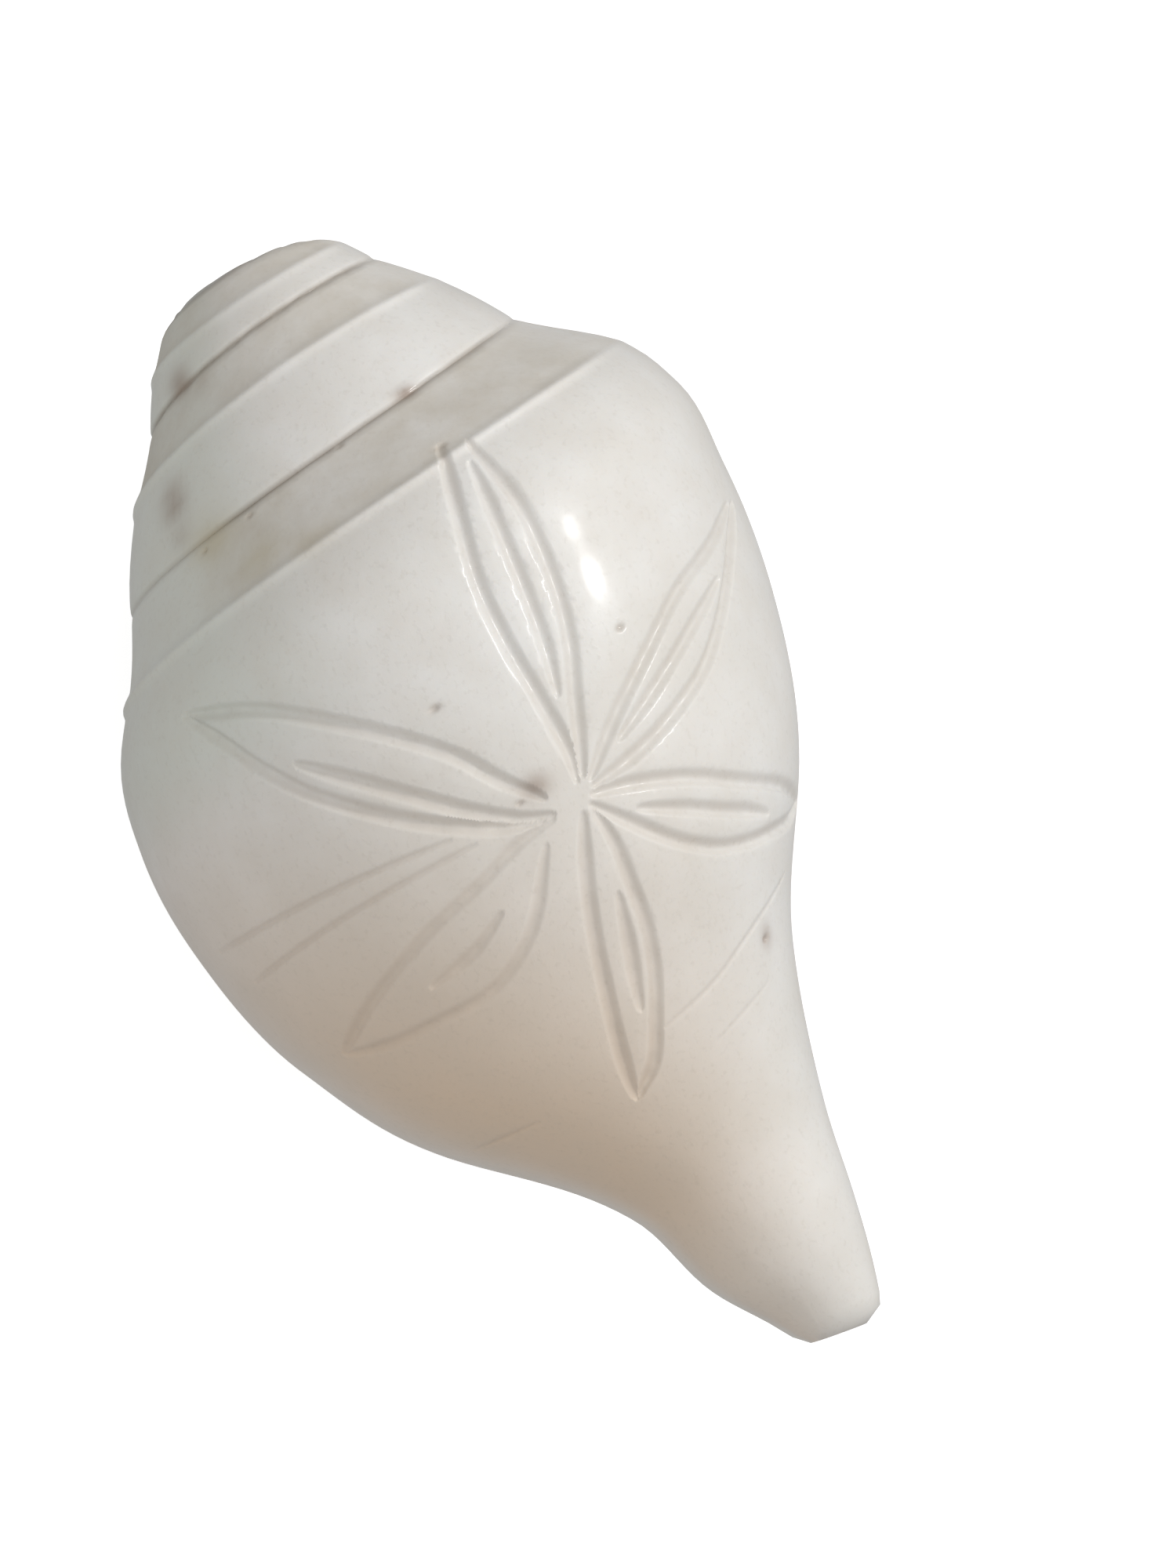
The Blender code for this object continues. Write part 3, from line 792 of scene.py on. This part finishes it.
def blow_hole_rings():
    """Rings of the tapered blow hole, not quite round, which follow the sawn face's lean at its mouth."""
    rings = []
    turn = np.linspace(0.0, 2.0 * math.pi, BLOW_SIDES, endpoint=False)
    for share, width in BLOW_PROFILE:
        r = BLOW_MOUTH / 2 * width * (1.0 + 0.03 * np.sin(2 * turn + 0.6) + 0.02 * np.sin(3 * turn))
        lean = r * np.cos(turn) * math.sin(SAWN_LEAN) * (1.0 - max(share, 0.0))
        rings.append(place_point(np.degrees(turn), SAWN_APEX + BLOW_LENGTH * share - lean, r))
    return rings


def tube_mesh(name, sections):
    """A closed solid through rings of points, made from a cylinder with as many sides and cuts."""
    rings = np.array(sections)
    count, sides = rings.shape[:2]
    bpy.ops.mesh.primitive_cylinder_add(vertices=sides, end_fill_type="NGON")
    tube = bpy.context.object
    tube.name = name
    mesh = tube.data
    bpy.ops.object.mode_set(mode="EDIT")
    bm = bmesh.from_edit_mesh(mesh)
    upright = [e for e in bm.edges if abs(e.verts[0].co.z - e.verts[1].co.z) > 1.0]
    bmesh.ops.subdivide_edges(bm, edges=upright, cuts=count - 2, use_grid_fill=True)
    bmesh.update_edit_mesh(mesh)
    bpy.ops.object.mode_set(mode="OBJECT")
    flat = coordinates(mesh)
    ring = np.round((flat[:, 2] + 1.0) / 2.0 * (count - 1)).astype(int)
    turn = np.round(np.arctan2(flat[:, 0], flat[:, 1]) / (2.0 * math.pi) * sides).astype(int) % sides
    mesh.vertices.foreach_set("co", (rings[ring, turn] * MM).ravel())
    bpy.ops.object.mode_set(mode="EDIT")
    bpy.ops.mesh.select_all(action="SELECT")
    bpy.ops.mesh.normals_make_consistent(inside=False)
    bpy.ops.object.mode_set(mode="OBJECT")
    return tube


def alone(piece):
    """Selects the piece alone and makes it active."""
    bpy.ops.object.select_all(action="DESELECT")
    piece.select_set(True)
    bpy.context.view_layer.objects.active = piece


def saw_off(piece, point, normal):
    """Cuts the piece along a plane, takes off what lies outside it and closes the cut."""
    alone(piece)
    bpy.ops.object.mode_set(mode="EDIT")
    bpy.ops.mesh.select_all(action="SELECT")
    bpy.ops.mesh.bisect(
        plane_co=point,
        plane_no=normal,
        use_fill=True,
        clear_outer=True,
        threshold=0.000001,
    )
    bpy.ops.object.mode_set(mode="OBJECT")


def carve_out(piece, cutter):
    """Takes the cutter's space out of the piece, for good."""
    alone(piece)
    cut = piece.modifiers.new("cut", "BOOLEAN")
    cut.operation = "DIFFERENCE"
    cut.solver = "EXACT"
    cut.object = cutter
    bpy.ops.object.modifier_apply(modifier=cut.name)
    bpy.data.objects.remove(cutter, do_unlink=True)


def make_shell():
    """The shell: a sheet wrapped round the coil, sawn at the apex, hollowed, drilled and flat underneath."""
    bpy.ops.object.select_all(action="DESELECT")
    shell = coil_sheet()
    shell.name = "polished_conch"
    wrap_sheet(shell)
    lean_tip(shell)
    face = place_point(0.0, SAWN_APEX, 0.0) * MM
    saw_off(shell, face, SAWN_NORMAL)
    bpy.ops.object.select_all(action="DESELECT")
    carve_out(shell, tube_mesh("mouth_space", [mouth_section(d) for d in MOUTH_SECTIONS]))
    carve_out(shell, tube_mesh("blow_space", blow_hole_rings()))
    saw_off(shell, (0.0, 0.0, 0.0), (0.0, 0.0, -1.0))
    alone(shell)
    bpy.ops.object.shade_smooth_by_angle(angle=SMOOTH_ANGLE)
    smooth_skin(shell)
    return shell


def seam_and_band(x, turn):
    """How near each point is to a seam, and how far it is inside the matte band under it."""
    seam = np.zeros(len(x))
    band = np.zeros(len(x))
    for start in (LAST_START - 720, LAST_START - 360, LAST_START):
        angle = turn + 360.0 * np.ceil((start - turn) / 360.0)
        below = x - suture(angle)[0]
        height = np.where(angle < LAST_START, suture(angle + 360.0)[0] - suture(angle)[0], NO_NEXT_SEAM)
        here = (below > -1.5) & (below < height)
        ridge = np.interp(angle, RIDGE_ANGLES, RIDGE_DISTANCES)
        open_seam = seam_depth(angle) / SEAM_DEPTH
        seam = np.maximum(seam, np.where(here, np.exp(-(below / 0.35) ** 2) * open_seam, 0.0))
        inside = smoothstep(0.0, 0.5, below) * smoothstep(-ridge, 0.4 - ridge, -below)
        inside = inside * smoothstep(-4.0 - BAND_END, 12.0 - BAND_END, -np.maximum(angle, -90.0))
        inside = inside * (1.0 - SEAM_WORN * worn_side(angle))
        band = np.maximum(band, np.where(here, inside, 0.0))
    return seam, band


def hidden_inside(x, turn, radius):
    """Which points lie inside the mouth or the blow hole."""
    angle = turn + 360.0 * np.ceil((LAST_START - turn) / 360.0)
    start = suture(angle)[0]
    place = np.clip((x - start) / (CANAL_TIP - start), 0.0, 1.0)
    full = body(angle, place)[1]
    in_mouth = smoothstep(1.4, 3.5, full - radius) * smoothstep(2.0, 5.0, x - start)
    in_hole = smoothstep(0.6, 2.0, x - SAWN_APEX) * smoothstep(-7.0, -5.5, -radius) * (x < 60)
    return np.maximum(in_mouth, in_hole)


def tints_and_painted_light(x, turn):
    """Where the shell is rosy, towards the canal, grey, on the spire by the lip, and painted paler by bounce
    light towards the lip's edge.
    """
    under = smoothstep(80.0, 160.0, np.abs(turn))
    # Paler, and less rosy, towards the lip's edge is painted bounce light, as the floor sends none back
    painted_bounce_light = smoothstep(62.0, 98.0, turn) * smoothstep(56.0, 100.0, x) * (1.0 - under)
    lower = x + 0.22 * np.clip(turn, 0.0, 90.0)
    rosy = smoothstep(62.0, 116.0, lower) * smoothstep(-60.0, 60.0, turn) * (1.0 - 0.7 * under)
    rosy *= 1.0 - 0.45 * painted_bounce_light
    rosy *= 1.0 - 0.45 * smoothstep(116.0, 136.0, x)
    grey = smoothstep(10.0, 45.0, turn) * smoothstep(-66.0, -54.0, -x) * (1.0 - 0.6 * under)
    return rosy, grey, painted_bounce_light


def shell_marks(shell):
    """Keeps on the shell's points where the carving, the seams, the band, the inside, the rosy and grey tones
    and the painted bounce light are.
    """
    mesh = shell.data
    points = coordinates(mesh) / MM
    x = points[:, 0] + AXIS_MIDDLE
    y = -(points[:, 1] + AXIS_ASIDE)
    z = points[:, 2] - AXIS_HEIGHT
    turn = np.degrees(np.arctan2(y, z))
    kept = {"carved": carving(points)[1], "hidden": hidden_inside(x, turn, np.hypot(y, z))}
    kept["seam"], kept["band"] = seam_and_band(x, turn)
    kept["rosy"], kept["grey"], kept["painted_bounce_light"] = tints_and_painted_light(x, turn)
    for colour in ("brown", "yellow"):
        kept[colour] = np.zeros(len(points))
    for spot, size, strength, colour in STAINS:
        near = np.linalg.norm((points - spot) / size, axis=1)
        kept[colour] = np.maximum(kept[colour], strength * np.exp(-near ** 2))
    for name, parts in KEPT_ON_POINTS.items():
        data = mesh.color_attributes.new(name=name, type="FLOAT_COLOR", domain="POINT")
        columns = [kept[part] for part in parts] + [np.ones(len(points))]
        data.data.foreach_set("color", np.stack(columns, axis=1).ravel())


def linear(code):
    """Linear colour from an sRGB hex value."""
    parts = [int(code[k:k + 2], 16) / 255.0 for k in (0, 2, 4)]
    return tuple(p / 12.92 if p <= 0.04045 else ((p + 0.055) / 1.055) ** 2.4 for p in parts) + (1.0,)


def node(tree, kind, values=None, links=None, **settings):
    """Adds a node with its settings, its values and its links."""
    made = tree.nodes.new(kind)
    for name, value in settings.items():
        setattr(made, name, value)
    for name, value in (values or {}).items():
        made.inputs[name].default_value = value
    for name, (source, out) in (links or {}).items():
        tree.links.new(source.outputs[out], made.inputs[name])
    return made


def polished_shell():
    """Chank shell, an aragonite, ground and polished by hand: ivory with a soft satin gloss and fine pores,
    rosy towards the canal, greyer on the upper part by the lip, with brown dirt left in seams and carving and
    a few stained spots. Towards the lip's edge it is painted paler, as painted bounce light from the floor.
    The band under the seam is duller and more matte than the rest, and the inside is cream."""
    made = bpy.data.materials.new("polished_chank_shell")
    made.use_nodes = True
    tree = made.node_tree
    surface = tree.nodes["Principled BSDF"]
    where = node(tree, "ShaderNodeTexCoord")

    kept = {}
    for name, parts in KEPT_ON_POINTS.items():
        stored = node(tree, "ShaderNodeAttribute", attribute_name=name)
        split = node(tree, "ShaderNodeSeparateColor", links={"Color": (stored, "Color")})
        kept.update(zip(parts, ((split, "Red"), (split, "Green"), (split, "Blue"))))
    for name, scale, detail, roughness, low, high in LUMPS:
        values = {"Scale": scale, "Detail": detail, "Roughness": roughness}
        lumps = node(tree, "ShaderNodeTexNoise", values, {"Vector": (where, "Object")})
        values = {"From Min": low, "From Max": high}
        kept[name] = node(tree, "ShaderNodeMapRange", values, {"Value": (lumps, "Fac")}), "Result"

    values = {"A": linear(IVORY), "B": linear(IVORY_CLOUD)}
    colour = node(tree, "ShaderNodeMix", values, {"Factor": kept["clouds"]}, data_type="RGBA")
    for code, strength, share, also in LAYERS:
        amount = node(tree, "ShaderNodeMath", {1: strength}, {0: kept[share]}, operation="MULTIPLY")
        if also:
            links = {0: (amount, "Value"), 1: kept[also]}
            amount = node(tree, "ShaderNodeMath", links=links, operation="MULTIPLY")
        links = {"A": (colour, "Result"), "Factor": (amount, "Value")}
        colour = node(tree, "ShaderNodeMix", {"B": linear(code)}, links, data_type="RGBA")
    tree.links.new(colour.outputs["Result"], surface.inputs["Base Color"])

    values = {"To Min": 0.36, "To Max": 0.50}
    rough = node(tree, "ShaderNodeMapRange", values, {"Value": kept["patches"]})
    # The band is rougher and has no coat, which gives the rest its satin gloss
    links = {0: kept["band"], 2: (rough, "Result")}
    rough = node(tree, "ShaderNodeMath", {1: 0.25}, links, operation="MULTIPLY_ADD")
    tree.links.new(rough.outputs["Value"], surface.inputs["Roughness"])
    links = {1: kept["band"]}
    gloss = node(tree, "ShaderNodeMath", {0: 0.35}, links, operation="SUBTRACT", use_clamp=True)
    tree.links.new(gloss.outputs["Value"], surface.inputs["Coat Weight"])
    surface.inputs["Coat Roughness"].default_value = 0.13
    # A little light goes into the shell and comes out beside the place
    surface.inputs["Subsurface Weight"].default_value = 0.06
    surface.inputs["Subsurface Radius"].default_value = (0.004, 0.003, 0.002)

    # The ground surface is slightly uneven in lumps of about 2.4 mm, and has pores of about 0.6 mm
    values = {"Strength": 0.10, "Distance": 0.0004}
    bump = node(tree, "ShaderNodeBump", values, {"Height": kept["tooth"]})
    values = {"Strength": 0.12, "Distance": 0.0001}
    links = {"Height": kept["pores"], "Normal": (bump, "Normal")}
    bump = node(tree, "ShaderNodeBump", values, links)
    tree.links.new(bump.outputs["Normal"], surface.inputs["Normal"])
    return made


def white_paper():
    """Matte white paper that glows a little, so that the ground is as white as a cut-out photograph's."""
    made = bpy.data.materials.new("white_paper")
    made.use_nodes = True
    surface = made.node_tree.nodes["Principled BSDF"]
    surface.inputs["Base Color"].default_value = linear("F7F7F7")
    surface.inputs["Roughness"].default_value = 0.9
    surface.inputs["Emission Color"].default_value = linear("FFFFFF")
    surface.inputs["Emission Strength"].default_value = FLOOR_GLOW
    return made


def make_floor():
    """The pale floor, which sends no light back to the shell."""
    bpy.ops.mesh.primitive_plane_add(size=FLOOR_WIDTH)
    floor = bpy.context.object
    floor.name = "floor"
    floor.location.z = FLOOR_DROP
    floor.visible_diffuse = False
    floor.visible_glossy = False
    floor.data.materials.append(white_paper())


def make_room():
    """Even white light from all round, and colours shown as they are."""
    world = bpy.data.worlds.new("soft_room")
    bpy.context.scene.world = world
    world.use_nodes = True
    background = world.node_tree.nodes["Background"]
    background.inputs["Color"].default_value = (1.0, 1.0, 1.0, 1.0)
    background.inputs["Strength"].default_value = ROOM_STRENGTH
    bpy.context.scene.view_settings.view_transform = "Standard"


def make_light(name, direction, distance, size, power, in_gloss):
    """A round lamp that looks at the shell from a direction."""
    data = bpy.data.lights.new(name, "AREA")
    data.shape = "DISK"
    data.size = size
    data.energy = power
    lamp = bpy.data.objects.new(name, data)
    bpy.context.scene.collection.objects.link(lamp)
    way = Vector(direction).normalized()
    lamp.location = Vector(LIGHTS_AIM) + way * distance
    lamp.rotation_euler = way.to_track_quat("Z", "Y").to_euler()
    lamp.visible_glossy = in_gloss


def make_camera():
    """The camera at the photograph's angle."""
    a, e = CAMERA_AZIMUTH, CAMERA_ELEVATION
    back = Vector((math.sin(a) * math.cos(e), -math.cos(a) * math.cos(e), math.sin(e)))
    right = Vector((math.cos(a), math.sin(a), 0.0))
    up = back.cross(right)
    middle = Vector(place_point(0.0, CAMERA_AIM, 0.0)) * MM + right * CAMERA_RIGHT + up * CAMERA_UP
    data = bpy.data.cameras.new("camera")
    data.sensor_width = SENSOR
    data.sensor_fit = "AUTO"
    data.lens = SENSOR * CAMERA_DISTANCE / FRAME_HEIGHT
    camera = bpy.data.objects.new("camera", data)
    bpy.context.scene.collection.objects.link(camera)
    camera.location = middle + back * CAMERA_DISTANCE
    camera.rotation_euler = back.to_track_quat("Z", "Y").to_euler()
    bpy.context.scene.camera = camera


make_floor()
make_room()
for lamp in LIGHTS:
    make_light(*lamp)
make_camera()
shell = make_shell()
shell_marks(shell)
shell.data.materials.clear()
shell.data.materials.append(polished_shell())
# All faces take the one material
shell.data.polygons.foreach_set("material_index", [0] * len(shell.data.polygons))
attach(shell, "root")
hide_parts("conch_shell")
